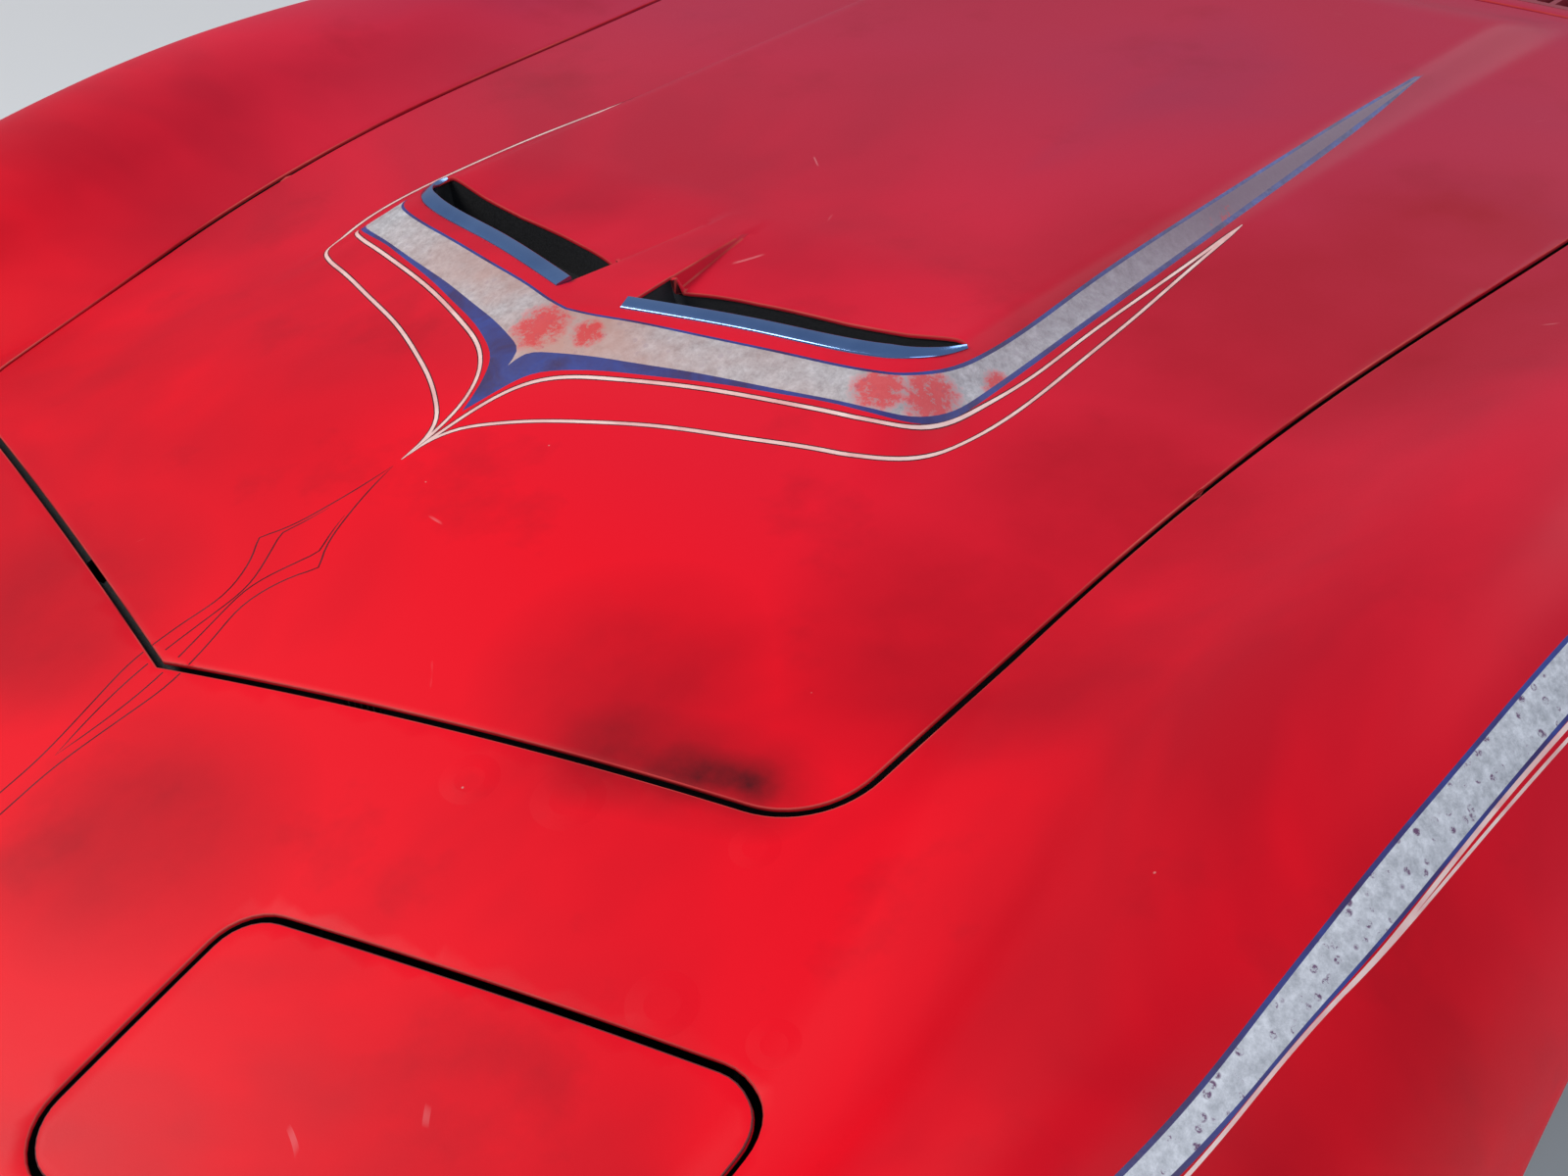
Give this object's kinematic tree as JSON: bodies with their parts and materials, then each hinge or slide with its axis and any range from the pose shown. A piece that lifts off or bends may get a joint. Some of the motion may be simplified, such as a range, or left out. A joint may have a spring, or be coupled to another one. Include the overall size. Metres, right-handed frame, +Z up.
{
  "type": "sports car front body section",
  "caption": "Front body section of a sports car: nose, wings, front-hinged bonnet with raised dome and scoops, and pop-up headlamps, bolted on at its bulkhead.",
  "frame": {"origin": "centre of the bulkhead's four bolt holes, on the bulkhead's rear face", "axes": "+X to the car's left, +Y to the car's rear, +Z up"},
  "size_m": [1.7526, 1.9797, 0.698],
  "materials": {
    "red_paint": "faded satin red lacquer over moulded panels, with worn stripes",
    "black_moulding": "matte black moulding",
    "black_steel": "semi-gloss black painted steel",
    "chrome": "bright chrome plate",
    "lamp_glass": "clear fluted glass over a bright reflector",
    "amber_lens": "moulded amber lens",
    "radiator_core": "dark finned core"
  },
  "bodies": {
    "shell": {"nose_panel": "red_paint", "valance": "red_paint", "wing_left": "red_paint", "wing_right": "red_paint", "cowl_panel": "red_paint", "cowl_grille": "red_paint", "bonnet_ledge": "black_moulding", "bulkhead": "black_moulding", "wheelhouse_left": "black_moulding", "wheelhouse_right": "black_moulding", "headlamp_bucket_left": "black_moulding", "headlamp_bucket_right": "black_moulding", "grille_left": "black_moulding", "grille_right": "black_moulding", "side_vent_left": "black_moulding", "side_vent_right": "black_moulding", "radiator_support": "black_steel", "hinge_brackets": "black_steel", "bonnet_catches": "black_steel", "front_bumper": "chrome", "turn_lamp_left": "amber_lens", "turn_lamp_right": "amber_lens", "radiator": "radiator_core"},
    "bonnet_panel": {"bonnet": "red_paint", "bonnet_frame": "black_moulding", "hinge_arms": "black_steel", "bonnet_strikers": "black_steel", "scoop_lip_left": "chrome", "scoop_lip_right": "chrome"},
    "headlamp_unit_left": {"headlamp_lid_left": "red_paint", "lamp_carrier_left": "black_moulding", "headlamps_left": "lamp_glass"},
    "headlamp_unit_right": {"headlamp_lid_right": "red_paint", "lamp_carrier_right": "black_moulding", "headlamps_right": "lamp_glass"}
  },
  "joints": [
    {"name": "bonnet_hinge", "type": "hinge", "parent": "shell", "child": "bonnet_panel", "pos_m": [0, -1.622, 0.192], "axis": [1, 0, 0], "range_deg": [0, 50]},
    {"name": "headlamp_left_tilt", "type": "hinge", "parent": "shell", "child": "headlamp_unit_left", "pos_m": [0.36464, -1.55559, 0.149], "axis": [-0.963, -0.2696, 0], "range_deg": [0, 55]},
    {"name": "headlamp_right_tilt", "type": "hinge", "parent": "shell", "child": "headlamp_unit_right", "pos_m": [-0.36464, -1.55559, 0.149], "axis": [-0.963, 0.2696, 0], "range_deg": [0, 55]}
  ]
}
